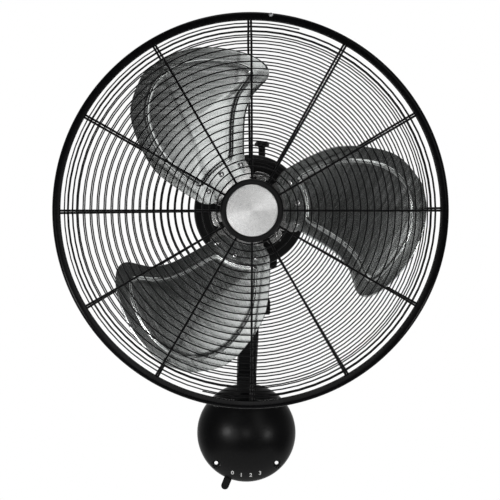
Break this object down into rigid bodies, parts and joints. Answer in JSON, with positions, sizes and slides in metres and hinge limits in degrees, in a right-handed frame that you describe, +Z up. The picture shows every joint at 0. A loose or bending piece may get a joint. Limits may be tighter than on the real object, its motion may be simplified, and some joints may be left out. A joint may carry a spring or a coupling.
{
  "type": "wall mounted fan",
  "caption": "Wall mounted oscillating fan: metal blades in a round wire guard, on a gearbox head that tilts and swings over a bent arm and a domed wall base with a speed lever.",
  "frame": {"origin": "middle of the wall plate's back face, on the wall", "axes": "+X to the right seen from the front, +Y into the wall, +Z up"},
  "size_m": [0.5599, 0.338, 0.7047],
  "materials": {
    "zinc_steel": "zinc plated sheet",
    "rubber_black": "matt",
    "dome_black": "gloss moulding",
    "switch_grey": "matt moulding",
    "coat_black": "satin powder coat",
    "ground_steel": "ground",
    "nylon_white": "natural nylon",
    "knob_black": "satin moulding",
    "case_black": "fine grain moulding",
    "lamination": "stacked sheet",
    "winding_copper": "enamelled wire",
    "cover_black": "satin moulding",
    "capacitor_grey": "moulded case",
    "rim_black": "gloss coat",
    "holder_black": "satin moulding",
    "spun_aluminium": "spun face",
    "bright_steel": "pressed sheet",
    "blade_aluminium": "brushed",
    "rivet_aluminium": "plain",
    "gear_nylon": "natural nylon",
    "lever_black": "satin moulding"
  },
  "bodies": {
    "base": {"wall_plate": "zinc_steel", "cable_grommet": "rubber_black", "base_dome": "dome_black", "switch_body": "switch_grey", "arm": "coat_black", "arm_screws": "zinc_steel", "tilt_nut": "zinc_steel"},
    "speed_lever": {"speed_lever": "lever_black"},
    "tilt_bracket": {"tilt_bracket": "coat_black", "pivot_lock_screw": "zinc_steel", "rocker_pin": "ground_steel", "pivot_spacer": "nylon_white"},
    "tilt_knob": {"tilt_knob": "knob_black", "tilt_bolt": "zinc_steel", "tilt_washer": "zinc_steel"},
    "head": {"pivot_post": "ground_steel", "gearbox_case": "case_black", "gearbox_lid": "case_black", "lid_screws": "zinc_steel", "motor_rear_shell": "coat_black", "motor_front_shell": "coat_black", "shaft_bearings": "ground_steel", "stator_core": "lamination", "stator_windings": "winding_copper", "rear_cover": "cover_black", "run_capacitor": "capacitor_grey", "rear_guard": "coat_black", "guard_mount_ring": "coat_black", "front_guard": "coat_black", "rim_band": "rim_black", "guard_centre_plate": "coat_black", "badge_holder": "holder_black", "badge": "spun_aluminium", "guard_screws": "zinc_steel", "rim_screw": "zinc_steel"},
    "rotor": {"motor_shaft": "ground_steel", "rotor_core": "lamination", "blade_carrier": "bright_steel", "blade_1": "blade_aluminium", "blade_2": "blade_aluminium", "blade_3": "blade_aluminium", "blade_rivets": "rivet_aluminium", "hub_nut": "zinc_steel"},
    "worm_wheel": {"worm_wheel": "gear_nylon"},
    "spindle": {"clutch_spindle": "ground_steel"},
    "clutch_knob": {"clutch_knob": "knob_black"},
    "crank": {"output_gear": "gear_nylon", "crank_arm": "zinc_steel"},
    "link": {"swing_link": "zinc_steel"}
  },
  "joints": [
    {"name": "speed_select", "type": "hinge", "parent": "base", "child": "speed_lever", "pos_m": [0, -0.0055, 0], "axis": [0, -1, 0], "range_deg": [0, 44]},
    {"name": "tilt", "type": "hinge", "parent": "base", "child": "tilt_bracket", "pos_m": [0, -0.14, 0.197], "axis": [1, 0, 0], "range_deg": [-10, 20]},
    {"name": "tilt_clamp", "type": "hinge", "parent": "base", "child": "tilt_knob", "pos_m": [0.02, -0.14, 0.197], "axis": [1, 0, 0], "range_deg": [-270, 0]},
    {"name": "oscillation", "type": "hinge", "parent": "tilt_bracket", "child": "head", "pos_m": [0, -0.14, 0.25], "axis": [0, 0, 1], "range_deg": [-45, 45]},
    {"name": "rotor_spin", "type": "hinge", "parent": "head", "child": "rotor", "pos_m": [0, -0.2, 0.338], "axis": [0, -1, 0], "continuous": true},
    {"name": "wheel_spin", "type": "hinge", "parent": "head", "child": "worm_wheel", "pos_m": [0.02, -0.125, 0.338], "axis": [0, 0, 1], "continuous": true},
    {"name": "spindle_turn", "type": "hinge", "parent": "head", "child": "spindle", "pos_m": [0.02, -0.125, 0.338], "axis": [0, 0, 1], "range_deg": [-164, 164]},
    {"name": "clutch_pull", "type": "slide", "parent": "spindle", "child": "clutch_knob", "axis": [0, 0, 1], "range_m": [-0.008, 0]},
    {"name": "crank_turn", "type": "hinge", "parent": "head", "child": "crank", "pos_m": [0.02, -0.1025, 0.25], "axis": [0, 0, 1], "range_deg": [-55, 55]},
    {"name": "link_turn", "type": "hinge", "parent": "crank", "child": "link", "pos_m": [0.02658, -0.09014, 0.246], "axis": [0, 0, 1], "range_deg": [-59, 59]}
  ],
  "couplings": [
    {"joint": "wheel_spin", "follows": "rotor_spin", "ratio": -0.05},
    {"joint": "spindle_turn", "follows": "oscillation", "ratio": 3.6273},
    {"joint": "crank_turn", "follows": "oscillation", "ratio": -1.2091},
    {"joint": "link_turn", "follows": "oscillation", "ratio": 1.297}
  ]
}
